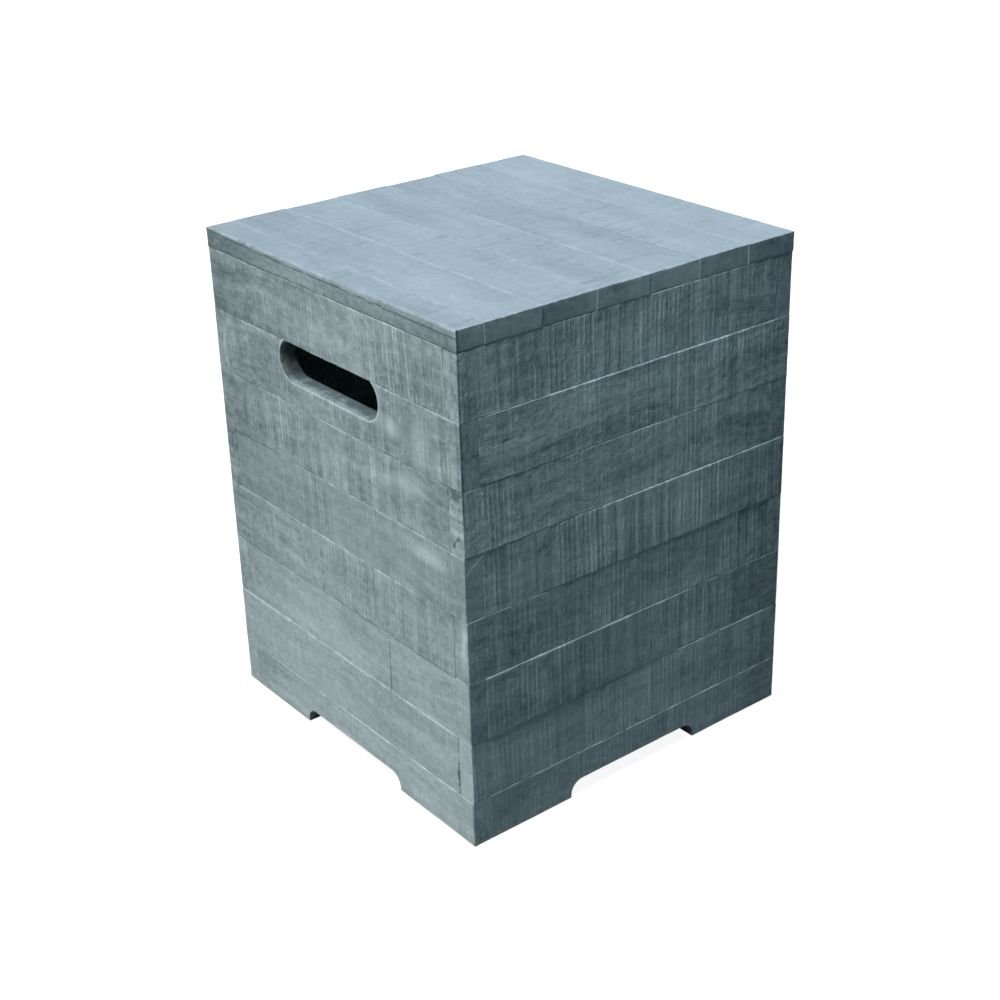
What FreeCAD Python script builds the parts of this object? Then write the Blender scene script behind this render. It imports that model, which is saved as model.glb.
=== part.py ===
import FreeCAD, Part
import os
from FreeCAD import Vector

# Propane tank cover table: a square box of weathered boards that stands over a gas cylinder.
# Millimetres, +Z up. The origin is the middle of the footprint, on the ground.
# The front is the -Y wall and the left side is the -X wall.

# Outer size and the boards it is made of
width = 400.0
height = 508.0
board_thickness = 21.0
lid_thickness = 20.0
glide_lift = 1.0

# Courses are counted from the top. The bottom one is cut lower than the rest.
course_count = 8
foot_course_top = 48.5

# How far each course's face stands back from the outer size, course 1 first
face_setbacks = {
    "front": [1.2, 0.5, 0.9, 0.2, 1.2, 0.3, 1.0, 0.6],
    "right": [0.4, 1.0, 0.2, 0.8, 0.3, 1.1, 0.5, 0.9],
    "back": [0.8, 0.2, 1.1, 0.4, 0.9, 0.2, 1.2, 0.5],
    "left": [0.6, 0.4, 1.0, 0.5, 0.2, 1.3, 0.3, 0.6],
}
end_setback = 0.4
eased_edge = 0.8

# Lid planks, from the left side: the seams between them, and how far each one stands low or short
lid_seams = [-170.0, -108.5, -47.0, 14.5, 76.0, 138.0]
plank_drops = [0.3, 0.0, 0.5, 0.2, 0.6, 0.1, 0.4]
plank_end_setbacks = [0.4, 0.0, 0.7, 0.2, 1.0, 0.5, 0.0]

# Hand holes, cut down from the top edge of the second course on both sides
hand_hole_course = 2
hand_hole_walls = ["left", "right"]
hand_hole_length = 160.0
hand_hole_bottom = 387.0
hand_hole_end_radius = 20.5
hand_hole_lip = 3.0

# Hose notches in the foot of each wall
notch_length = 162.0
notch_height = 18.0
notch_radius = 14.0

# Inner frame
post_side = 30.0
post_top_gap = 2.0
batten_width = 40.0
batten_height = 18.0
lid_clearance = 3.0
frame_chamfer = 2.0

# Screws. The head lies a little below the surface, and the tip stays inside the board.
screw_radius = 2.2
screw_head_radius = 4.3
screw_head_height = 2.6
screw_sink = 0.3
screw_point = 4.0
screw_bite = 13.0
bore_clearance = 0.05
bore_spare_depth = 0.5
drive_width = 2.6
drive_depth = 1.6
wall_screw_offset = 20.0
cross_screw_offset = 8.0
lid_screw_offset = 16.0

# Dowels between the narrow lid plank and its neighbour
dowel_radius = 4.0
dowel_length = 40.0
dowel_in_narrow_plank = 18.0
dowel_places = [-148.0, 0.0, 148.0]

# Nail-in glides under the posts
glide_radius = 11.0
glide_thickness = 4.0
glide_chamfer = 1.0
nail_radius = 1.3
nail_length = 9.0
nail_point = 2.0

# Worked out from the sizes above
half = width / 2
inner_half = half - board_thickness
post_inner = inner_half - post_side
post_middle = inner_half - post_side / 2
wall_top = height - lid_thickness
course_height = (wall_top - foot_course_top) / (course_count - 1)
batten_outer = post_inner - lid_clearance
batten_middle = batten_outer - batten_width / 2
batten_half_length = inner_half - lid_clearance
batten_bottom = wall_top - batten_height
walls = ["front", "right", "back", "left"]
corners = ["front_left", "front_right", "back_right", "back_left"]


def course_span(course):
    """Lowest and highest Z of a course."""
    if course == course_count:
        return glide_lift, foot_course_top
    top = wall_top - (course - 1) * course_height
    return top - course_height, top


def block(x0, x1, y0, y1, z0, z1):
    return Part.makeBox(x1 - x0, y1 - y0, z1 - z0, Vector(x0, y0, z0))


def turned(shape, quarter_turns):
    """A shape drawn on the front wall or in the front left corner, turned round to another."""
    copy = shape.copy()
    copy.rotate(Vector(0, 0, 0), Vector(0, 0, 1), 90.0 * quarter_turns)
    return copy


def through_wall(outline):
    """A prism from a closed outline in X and Z, right through the front wall."""
    prism = Part.Face(outline).extrude(Vector(0, half, 0))
    prism.translate(Vector(0, -half - board_thickness, 0))
    return prism


def revolved(points):
    """A solid of revolution about +Z from a closed outline of (radius, z) points."""
    corners_3d = [Vector(radius, 0, z) for radius, z in points]
    outline = Part.makePolygon(corners_3d + corners_3d[:1])
    return Part.Face(outline).revolve(Vector(0, 0, 0), Vector(0, 0, 1), 360)


def save(node, shape):
    if not shape.isValid():
        raise ValueError(node + " is not a valid shape")
    shape.exportStep("parts/" + node + ".step")
    print(node, len(shape.Solids), "solids", round(shape.Volume), "mm3")


# Fasteners are drawn at the origin with the head's top at zero and the point along +Z.

def screw(length):
    """A countersunk wood screw with a square recess."""
    body = revolved([
        (0, 0), (screw_head_radius, 0), (screw_radius, screw_head_height),
        (screw_radius, length - screw_point), (0, length),
    ])
    side = drive_width / 2
    return body.cut(block(-side, side, -side, side, 0, drive_depth))


def screw_bore(length):
    """The countersunk hole that a screw turns in, open at the surface above the sunk head."""
    head = screw_head_radius + bore_clearance
    shank = screw_radius + bore_clearance
    bottom = length + bore_spare_depth
    return revolved([
        (0, -screw_sink), (head, -screw_sink), (head, 0), (shank, screw_head_height),
        (shank, bottom), (0, bottom),
    ])


def aimed(shape, place, direction):
    """Put a fastener's head at a place, with its point along a direction."""
    copy = shape.copy()
    copy.Placement = FreeCAD.Placement(place, FreeCAD.Rotation(Vector(0, 0, 1), direction))
    return copy


wall_screw_length = post_side - screw_sink + screw_bite
lid_screw_length = batten_height - screw_sink + screw_bite


def wall_screw_heights(wall, course):
    """Screws into one wall pass above and below those into the next, inside the same post."""
    low, high = course_span(course)
    middle = (low + high) / 2
    faces_y = wall in ("front", "back")
    if course == course_count:
        return [middle + cross_screw_offset if faces_y else middle - cross_screw_offset]
    offset = wall_screw_offset if faces_y else cross_screw_offset
    return [middle - offset, middle + offset]


def wall_fasteners(shape, wall, courses, ends):
    """Copies of a screw or its bore at the given ends (-1 left, 1 right) of a wall's boards."""
    placed = []
    for course in courses:
        for z in wall_screw_heights(wall, course):
            for end in ends:
                place = Vector(end * post_middle, -post_inner - screw_sink, z)
                placed.append(turned(aimed(shape, place, Vector(0, -1, 0)), walls.index(wall)))
    return placed


def corner_fasteners(shape, corner):
    """All the screws or bores of one post: into the wall after it and the wall before it."""
    every_course = range(1, course_count + 1)
    number = corners.index(corner)
    after = wall_fasteners(shape, walls[number], every_course, [-1])
    before = wall_fasteners(shape, walls[number - 1], every_course, [1])
    return after + before


def lid_fasteners(shape, side):
    """Copies of a lid screw or its bore along the batten at the front (-1) or back (1)."""
    edges = lid_seams + [half]
    placed = []
    for left, right in zip(edges[:-1], edges[1:]):
        middle = (left + min(right, batten_half_length)) / 2
        spread = min(lid_screw_offset, (batten_half_length - left) / 4)
        for x in (middle - spread, middle + spread):
            place = Vector(x, side * batten_middle, batten_bottom + screw_sink)
            placed.append(aimed(shape, place, Vector(0, 0, 1)))
    return placed


def covering_end(course):
    """The end (-1 left, 1 right) where each board of a course covers the next wall's board.

    Every board covers one neighbour and is covered by the other, and the ends swap from course to course.
    """
    return -1 if course % 2 == 1 else 1


def hand_hole_cutter():
    """A slot with round ends, drawn higher than the board, so its top edge cuts it off."""
    middle = hand_hole_length / 2 - hand_hole_end_radius
    end = hand_hole_length / 2
    low = hand_hole_bottom
    centre = low + hand_hole_end_radius
    high = centre + hand_hole_end_radius
    outline = [
        Part.LineSegment(Vector(-middle, 0, low), Vector(middle, 0, low)),
        Part.Arc(Vector(middle, 0, low), Vector(end, 0, centre), Vector(middle, 0, high)),
        Part.LineSegment(Vector(middle, 0, high), Vector(-middle, 0, high)),
        Part.Arc(Vector(-middle, 0, high), Vector(-end, 0, centre), Vector(-middle, 0, low)),
    ]
    return through_wall(Part.Wire([curve.toShape() for curve in outline]))


def notch_cutter():
    """A hose notch with round upper corners, open at the bottom."""
    side = notch_length / 2
    shoulder = side - notch_radius
    spring = notch_height - notch_radius
    bulge = notch_radius * 0.5 ** 0.5
    low = -notch_height
    outline = [
        Part.LineSegment(Vector(-side, 0, low), Vector(side, 0, low)),
        Part.LineSegment(Vector(side, 0, low), Vector(side, 0, spring)),
        Part.Arc(Vector(side, 0, spring), Vector(shoulder + bulge, 0, spring + bulge),
                 Vector(shoulder, 0, notch_height)),
        Part.LineSegment(Vector(shoulder, 0, notch_height), Vector(-shoulder, 0, notch_height)),
        Part.Arc(Vector(-shoulder, 0, notch_height), Vector(-shoulder - bulge, 0, spring + bulge),
                 Vector(-side, 0, spring)),
        Part.LineSegment(Vector(-side, 0, spring), Vector(-side, 0, low)),
    ]
    return through_wall(Part.Wire([curve.toShape() for curve in outline]))


def on_outer_face(edge, outer_y):
    return max(vertex.Y for vertex in edge.Vertexes) < outer_y + eased_edge / 2


def with_hand_hole(board, outer_y):
    """Cut the hand hole and round its lip on the outer face."""
    board = board.cut(hand_hole_cutter())
    reach = hand_hole_length / 2
    lip = []
    for edge in board.Edges:
        near = max(abs(vertex.X) for vertex in edge.Vertexes) < reach
        if near and on_outer_face(edge, outer_y):
            lip.append(edge)
    return board.makeFillet(hand_hole_lip, lip)


def eased(board, outer_y, covering):
    """Ease the edges of the outer face, and of the end face that shows on the next wall."""
    edges = []
    for edge in board.Edges:
        end = max(abs(vertex.X) for vertex in edge.Vertexes)
        ys = [vertex.Y for vertex in edge.Vertexes]
        at_end = end > inner_half - eased_edge
        runs_through = max(ys) - min(ys) > board_thickness / 2
        if on_outer_face(edge, outer_y) and at_end:
            edges.append(edge)
        elif runs_through and min(covering * vertex.X for vertex in edge.Vertexes) > inner_half:
            edges.append(edge)
    return board.makeChamfer(eased_edge, edges)


def wall_board(wall, course):
    """One board, drawn on the front wall and turned to its own."""
    outer_y = -half + face_setbacks[wall][course - 1]
    covering = covering_end(course)
    ends = sorted([covering * (half - end_setback), -covering * inner_half])
    low, high = course_span(course)
    board = block(ends[0], ends[1], outer_y, -inner_half, low, high)
    if course == hand_hole_course and wall in hand_hole_walls:
        board = with_hand_hole(board, outer_y)
    board = eased(board, outer_y, covering)
    if course == course_count:
        board = board.cut(notch_cutter())
    board = turned(board, walls.index(wall))
    return board.cut(wall_fasteners(screw_bore(wall_screw_length), wall, [course], [-1, 1]))


def corner_post(corner):
    """A square post in an inner corner, standing on its glide."""
    post = block(-inner_half, -post_inner, -inner_half, -post_inner,
                 glide_thickness, wall_top - post_top_gap)
    inner_edge = [edge for edge in post.Edges
                  if min(vertex.X + vertex.Y for vertex in edge.Vertexes) > -2 * post_inner - 1]
    post = post.makeChamfer(frame_chamfer, inner_edge)
    nail_hole = Part.makeCylinder(nail_radius + bore_clearance, nail_length + bore_spare_depth,
                                  Vector(-post_middle, -post_middle, glide_thickness))
    post = turned(post.cut(nail_hole), corners.index(corner))
    return post.cut(corner_fasteners(screw_bore(wall_screw_length), corner))


def foot_glide(corner):
    """A round glide with its nail, under a post."""
    top = glide_thickness + nail_length
    glide = revolved([
        (0, 0), (glide_radius - glide_chamfer, 0), (glide_radius, glide_chamfer),
        (glide_radius, glide_thickness), (nail_radius, glide_thickness),
        (nail_radius, top - nail_point), (0, top),
    ])
    glide.translate(Vector(-post_middle, -post_middle, 0))
    return turned(glide, corners.index(corner))


def dowels(grow):
    """The dowels in the narrow plank's edge, or their holes when grown."""
    start = lid_seams[0] - dowel_in_narrow_plank - grow
    middle = height - lid_thickness / 2
    return [Part.makeCylinder(dowel_radius + grow, dowel_length + 2 * grow,
                              Vector(start, y, middle), Vector(1, 0, 0))
            for y in dowel_places]


def lid_plank(number):
    """One plank of the lid, with its upper edges eased."""
    edges = [-half] + lid_seams + [half]
    left, right = edges[number - 1], edges[number]
    reach = half - plank_end_setbacks[number - 1]
    top = height - plank_drops[number - 1]
    plank = block(left, right, -reach, reach, wall_top, top)
    upper = [edge for edge in plank.Edges
             if min(vertex.Z for vertex in edge.Vertexes) > top - eased_edge]
    plank = plank.makeChamfer(eased_edge, upper)
    bore = screw_bore(lid_screw_length)
    plank = plank.cut(lid_fasteners(bore, -1) + lid_fasteners(bore, 1))
    if number <= 2:
        plank = plank.cut(dowels(bore_clearance))
    return plank


def lid_batten(side):
    """A batten under the planks, with its lower long edges and ends chamfered."""
    near, far = sorted([side * batten_outer, side * (batten_outer - batten_width)])
    batten = block(-batten_half_length, batten_half_length, near, far, batten_bottom, wall_top)
    lower = [edge for edge in batten.Edges
             if max(vertex.Z for vertex in edge.Vertexes) < batten_bottom + frame_chamfer]
    batten = batten.makeChamfer(frame_chamfer, lower)
    return batten.cut(lid_fasteners(screw_bore(lid_screw_length), side))


os.makedirs("parts", exist_ok=True)

for wall in walls:
    for course in range(1, course_count + 1):
        save(wall + "_board_" + str(course), wall_board(wall, course))

for corner in corners:
    save("corner_post_" + corner, corner_post(corner))
    save("foot_glide_" + corner, foot_glide(corner))
    wall_screws = corner_fasteners(screw(wall_screw_length), corner)
    save("wall_screws_" + corner, Part.makeCompound(wall_screws))

for number in range(1, len(lid_seams) + 2):
    save("lid_plank_" + str(number), lid_plank(number))

for name, side in (("front", -1), ("back", 1)):
    save("lid_batten_" + name, lid_batten(side))
    save("lid_screws_" + name, Part.makeCompound(lid_fasteners(screw(lid_screw_length), side)))

save("lid_dowels", Part.makeCompound(dowels(0)))
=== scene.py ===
import bmesh
import bpy
import math
import numpy as np
from mathutils import Matrix, Vector
from random import Random


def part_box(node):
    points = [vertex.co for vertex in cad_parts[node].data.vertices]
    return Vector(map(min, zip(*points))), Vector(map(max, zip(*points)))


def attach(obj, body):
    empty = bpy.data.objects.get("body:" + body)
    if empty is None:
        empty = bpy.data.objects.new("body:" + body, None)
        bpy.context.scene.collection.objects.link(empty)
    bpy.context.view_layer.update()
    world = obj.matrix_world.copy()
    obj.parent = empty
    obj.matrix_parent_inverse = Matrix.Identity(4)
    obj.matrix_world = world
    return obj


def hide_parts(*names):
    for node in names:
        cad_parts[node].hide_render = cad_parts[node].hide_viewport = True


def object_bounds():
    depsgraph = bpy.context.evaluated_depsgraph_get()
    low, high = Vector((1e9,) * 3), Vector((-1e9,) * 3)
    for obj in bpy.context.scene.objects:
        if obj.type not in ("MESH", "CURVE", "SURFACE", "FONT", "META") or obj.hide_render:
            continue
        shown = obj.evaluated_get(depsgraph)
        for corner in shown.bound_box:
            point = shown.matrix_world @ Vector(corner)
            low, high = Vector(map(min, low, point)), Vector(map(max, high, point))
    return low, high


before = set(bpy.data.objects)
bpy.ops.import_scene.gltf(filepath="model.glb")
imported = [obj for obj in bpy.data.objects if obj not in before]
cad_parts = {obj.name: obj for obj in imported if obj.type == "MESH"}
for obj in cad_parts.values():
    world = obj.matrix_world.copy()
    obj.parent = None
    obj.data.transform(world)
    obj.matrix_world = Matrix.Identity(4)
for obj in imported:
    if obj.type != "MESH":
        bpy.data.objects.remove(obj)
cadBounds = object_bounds()
print("frame loaded:", len(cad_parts), "nodes")

# Everything is in metres, in the frame of the CAD model: front wall at -Y, left wall at -X, +Z up.
# A board is made lying in the front wall, x along it, its face at -y, and is then turned to its place.

mm = 0.001
courseCount = 8
plankCount = 7
walls = ["front", "right", "back", "left"]


# Helpers for node trees

def addNode(tree, kind, inputs=None, **settings):
    node = tree.nodes.new(kind)
    for name, value in settings.items():
        setattr(node, name, value)
    for key, value in (inputs or {}).items():
        if isinstance(value, bpy.types.NodeSocket):
            tree.links.new(value, node.inputs[key])
        else:
            node.inputs[key].default_value = value
    return node


def mathOf(tree, operation, a, b=0.0):
    return addNode(tree, "ShaderNodeMath", {0: a, 1: b}, operation=operation).outputs[0]


def summed(tree, *values):
    total = values[0]
    for value in values[1:]:
        total = mathOf(tree, "ADD", total, value)
    return total


def times(tree, *values):
    total = values[0]
    for value in values[1:]:
        total = mathOf(tree, "MULTIPLY", total, value)
    return total


def vectorOf(tree, operation, a, b=(0.0, 0.0, 0.0)):
    return addNode(tree, "ShaderNodeVectorMath", {0: a, 1: b}, operation=operation).outputs[0]


def joined(tree, x, y, z):
    return addNode(tree, "ShaderNodeCombineXYZ", {0: x, 1: y, 2: z}).outputs[0]


def parted(tree, vector):
    return addNode(tree, "ShaderNodeSeparateXYZ", {0: vector}).outputs


noiseStep = 17.3     # each seed moves its noise this far


def noiseOf(tree, vector, perMetre, detail=2.0, roughness=0.5, seed=0.0):
    # perMetre: features in a metre along each axis
    if isinstance(seed, bpy.types.NodeSocket):
        apart = joined(tree, seed, seed, seed)
    else:
        apart = (noiseStep * seed,) * 3
    place = addNode(tree, "ShaderNodeVectorMath", {0: vector, 1: perMetre, 2: apart},
                    operation="MULTIPLY_ADD").outputs[0]
    return addNode(tree, "ShaderNodeTexNoise", {"Vector": place, "Detail": detail, "Roughness": roughness,
                                                "Scale": 1.0}).outputs[0]


def centred(tree, value):
    return mathOf(tree, "SUBTRACT", value, 0.5)


def ramp(tree, value, low, high, start=0.0, end=1.0):
    node = addNode(tree, "ShaderNodeMapRange", {0: value, 1: low, 2: high, 3: start, 4: end},
                   interpolation_type="SMOOTHSTEP")
    return node.outputs[0]


def mixed(tree, factor, a, b):     # sockets 6 and 7 are the node's two colours
    node = addNode(tree, "ShaderNodeMix", {0: factor, 6: a, 7: b}, data_type="RGBA", clamp_factor=True)
    return node.outputs[2]


# Camera, at the photograph's viewing angle

cameraView = {
    "place": (-0.96804, -1.23293, 0.97796),
    "lens": 61.473,
    "sensor": 36.0,
    "shift": (-0.0005, -0.0429),
    "right": (0.77939, -0.62603, -0.02514),
    "up": (0.27587, 0.30687, 0.91089),
}


def addCamera(values):
    camera = bpy.data.objects.new("camera", bpy.data.cameras.new("camera"))
    right, up = Vector(values["right"]), Vector(values["up"])
    turn = Matrix((right, up, right.cross(up))).transposed()
    camera.matrix_world = Matrix.Translation(values["place"]) @ turn.to_4x4()
    camera.data.lens = values["lens"]
    camera.data.shift_x, camera.data.shift_y = values["shift"]
    camera.data.sensor_width = values["sensor"]
    bpy.context.scene.collection.objects.link(camera)
    bpy.context.scene.camera = camera


addCamera(cameraView)


# Studio: a pale floor, a key lamp high on the left, a low one beside it, a bluish one overhead and one behind

studio = {
    "floorSize": 14.0,
    "floorColour": (0.30, 0.30, 0.30, 1.0),
    "floorGlow": (0.92, 1.0),                               # near the object and far from it
    "glowFrom": (0.9, 2.6),
    "worldColour": (0.0, 2.6, 2.4, 1.0),
    "worldStrength": 0.03,
}
lamps = {
    "keyLamp": {"place": (-1.5, -0.5, 2.7), "size": 1.0, "power": 80, "colour": (1.05, 1.0, 1.0)},
    "lowLamp": {"place": (-1.0, 0.1, 0.12), "size": 0.5, "power": 2.1, "colour": (1.12, 1.0, 0.95)},
    "skyLamp": {"place": (0.1, -0.3, 2.4), "size": 2.2, "power": 6, "colour": (0.0, 0.0, 1.35)},
    "rearLamp": {"place": (2.2, 2.0, 1.5), "size": 1.6, "power": 55, "colour": (1.0, 1.0, 1.0)},
}
lampAim = (0.0, 0.0, 0.25)


def seenDirectly(tree):
    seen = addNode(tree, "ShaderNodeLightPath").outputs
    either = mathOf(tree, "MAXIMUM", seen["Is Camera Ray"], seen["Is Glossy Ray"])
    return mathOf(tree, "MAXIMUM", either, seen["Is Transmission Ray"])


def addFloor(values):
    half = values["floorSize"] / 2
    mesh = bpy.data.meshes.new("floor")
    corners = [(-half, -half, 0), (half, -half, 0), (half, half, 0), (-half, half, 0)]
    mesh.from_pydata(corners, [], [(0, 1, 2, 3)])
    floor = bpy.data.objects.new("floor", mesh)
    bpy.context.scene.collection.objects.link(floor)
    material = bpy.data.materials.new("paleFloor")
    material.use_nodes = True
    tree = material.node_tree
    tree.nodes.clear()
    matte = addNode(tree, "ShaderNodeBsdfDiffuse", {"Color": values["floorColour"]}).outputs[0]
    place = addNode(tree, "ShaderNodeTexCoord").outputs["Object"]
    away = addNode(tree, "ShaderNodeVectorMath", {0: place}, operation="LENGTH").outputs["Value"]
    white = ramp(tree, away, *values["glowFrom"], *values["floorGlow"])
    glow = addNode(tree, "ShaderNodeEmission", {"Strength": times(tree, seenDirectly(tree), white)})
    both = addNode(tree, "ShaderNodeAddShader", {0: matte, 1: glow.outputs[0]}).outputs[0]
    addNode(tree, "ShaderNodeOutputMaterial", {"Surface": both})
    mesh.materials.append(material)


def addWorld(values):
    world = bpy.data.worlds.new("studioWorld")
    world.use_nodes = True
    tree = world.node_tree
    tree.nodes.clear()
    lit = addNode(tree, "ShaderNodeBackground", {"Color": values["worldColour"],
                                                 "Strength": values["worldStrength"]}).outputs[0]
    white = addNode(tree, "ShaderNodeBackground", {"Color": (1, 1, 1, 1), "Strength": 1.0}).outputs[0]
    both = addNode(tree, "ShaderNodeMixShader", {0: seenDirectly(tree), 1: lit, 2: white}).outputs[0]
    addNode(tree, "ShaderNodeOutputWorld", {"Surface": both})
    bpy.context.scene.world = world


def addLamp(name, values):
    lamp = bpy.data.lights.new(name, "AREA")
    lamp.shape = "DISK"
    lamp.size = values["size"]
    lamp.energy = values["power"]
    lamp.color = values["colour"]
    holder = bpy.data.objects.new(name, lamp)
    turn = (Vector(lampAim) - Vector(values["place"])).to_track_quat("-Z", "Y")
    holder.matrix_world = Matrix.Translation(values["place"]) @ turn.to_matrix().to_4x4()
    holder.visible_camera = False
    bpy.context.scene.collection.objects.link(holder)


addFloor(studio)
addWorld(studio)
for name, values in lamps.items():
    addLamp(name, values)
bpy.context.scene.view_settings.view_transform = "Standard"
print("studio ready")


# Marks of the saw, used in the boards' shape and in their finish alike. They read places in the grain:
# x along the grain, y into the board, z across it, in metres, moved by another amount on each board.

wallSaw = {
    "wide": (95, 1, 6), "narrow": (150, 1, 7), "patches": (10, 1, 12),      # features in a metre
    "pitch": 5.6 * mm, "beat": 0.4, "loose": 2.3,        # the narrow ridges: spacing, regular and loose part
    "lean": 0.02, "sway": 2.5 * mm, "waver": 1.6 * mm,   # how the marks bend across the board
    "leastShare": 0.45,                                  # what is left of the marks between the patches
}
lidSaw = {
    "wide": (70, 1, 11), "narrow": (110, 1, 14), "patches": (7, 1, 12),
    "pitch": 12 * mm, "beat": 0.2, "loose": 2.0,
    "lean": 0.02, "sway": 2 * mm, "waver": 1 * mm,
    "leastShare": 0.1,
}


def sawMarks(tree, grain, values):
    # Wide bars, about -0.5 to 0.5, and narrow ridges, 0 to 1, both across the grain and in patches
    along, into, across = parted(tree, grain)
    sway = times(tree, centred(tree, noiseOf(tree, grain, (9, 1, 14), 1, seed=1)), values["sway"])
    waver = times(tree, centred(tree, noiseOf(tree, grain, (28, 1, 60), 1, seed=13)), values["waver"])
    line = summed(tree, along, sway, waver, times(tree, across, values["lean"]))
    flat = joined(tree, line, 0.0, across)
    patches = noiseOf(tree, grain, values["patches"], 1, seed=4)
    patch = ramp(tree, patches, 0.38, 0.58, values["leastShare"], 1.0)
    broken = ramp(tree, noiseOf(tree, flat, (32, 1, 42), 3, 0.7, seed=3), 0.40, 0.60, 0.05, 1.0)
    wide = centred(tree, noiseOf(tree, flat, values["wide"], 1, seed=2))
    wave = mathOf(tree, "SINE", times(tree, line, 2 * math.pi / values["pitch"]))
    loose = centred(tree, noiseOf(tree, flat, values["narrow"], 2, seed=12))
    ridges = summed(tree, times(tree, wave, values["beat"]), times(tree, loose, values["loose"]))
    narrow = ramp(tree, ridges, 0.0, 0.45)
    return times(tree, wide, patch), times(tree, narrow, broken, patch)


# Weathered grey wood

# Tones say how far a mark goes from dark to light, and heights are in mm
wallWood = {
    "dark": (0.11, 0.157, 0.17, 1.0), "light": (0.53, 0.65, 0.67, 1.0), "roughness": 0.85, "specular": 0.1,
    "saw": wallSaw, "wideTone": 0.62, "wideHeight": 2.2, "narrowTone": 0.27, "narrowHeight": 0.6,
    "grainTone": 0.66, "grainHeight": 0.5, "grainBend": 55 * mm, "blotchTone": 0.57,
    "speckTone": 0.64, "speckHeight": 0.5, "pitTone": 0.15, "pitHeight": 0.2, "scarHeight": 0.2,
    "edgeTone": 0.35, "wornFrom": (0.42, 0.60), "jointAndGapShadeTone": 0.42,
    # Inside an opening, painted shade: how much darker it is all over, with depth and at its ends, and how
    # mottled
    "openingShadeShares": (0.2, 0.75, 0.5), "openingShadeTone": 0.55, "mottleTone": 1.4,
    "openingShadeColour": (0.02, 0.03, 0.033, 1.0), "cutShade": 0.15, "mottleShade": 1.5, "endShade": 0.55,
}
lidWood = dict(wallWood, saw=lidSaw, wideTone=0.10, wideHeight=0.2, narrowTone=-0.10, narrowHeight=-0.12,
               grainTone=0.25, grainHeight=0.2, blotchTone=0.4, speckTone=0.27, speckHeight=0.12,
               pitTone=0.05, edgeTone=0.30, wornFrom=(0.38, 0.60), jointAndGapShadeTone=0.75)


def newMaterial(name):
    material = bpy.data.materials.new(name)
    material.use_nodes = True
    tree = material.node_tree
    tree.nodes.clear()
    surface = addNode(tree, "ShaderNodeBsdfPrincipled")
    addNode(tree, "ShaderNodeOutputMaterial", {"Surface": surface.outputs[0]})
    return material, tree, surface


def attributeOf(tree, name, output):
    return addNode(tree, "ShaderNodeAttribute", attribute_name=name).outputs[output]


def scarOn(tree, wobble):
    # The scar attribute holds the place across and along the nearest scar, in its half sizes, and its tone
    across, along, tone = parted(tree, attributeOf(tree, "scar", "Vector"))
    place = joined(tree, along, across, 0.0)
    away = addNode(tree, "ShaderNodeVectorMath", {0: place}, operation="LENGTH").outputs["Value"]
    return times(tree, tone, ramp(tree, summed(tree, away, wobble), 0.1, 1.5, 1.0, 0.0))


def openingOn(tree, values):
    # The cut attribute holds the distance outside an opening's outline, counted in lips, then the depth as a
    # share of the thickness, and then how near the opening's ends are
    away, depth, atEnd = parted(tree, attributeOf(tree, "cut", "Vector"))
    fromLip = mathOf(tree, "ABSOLUTE", mathOf(tree, "SUBTRACT", away, 0.5))
    rim = times(tree, ramp(tree, fromLip, 0.0, 0.8, 1.0, 0.0), ramp(tree, depth, 0.2, 0.4, 1.0, 0.0))
    # Painted shade inside the opening: darker all over, further in and towards its ends, and none on its rim
    allOver, withDepth, towardsEnds = values["openingShadeShares"]
    dark = summed(tree, allOver, times(tree, depth, withDepth), times(tree, atEnd, towardsEnds))
    cut = times(tree, dark, ramp(tree, away, 0.5, 0.9, 1.0, 0.0), mathOf(tree, "SUBTRACT", 1.0, rim))
    end = times(tree, atEnd, ramp(tree, away, 0.2, 0.6, 1.0, 0.0))
    return rim, cut, end


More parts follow.
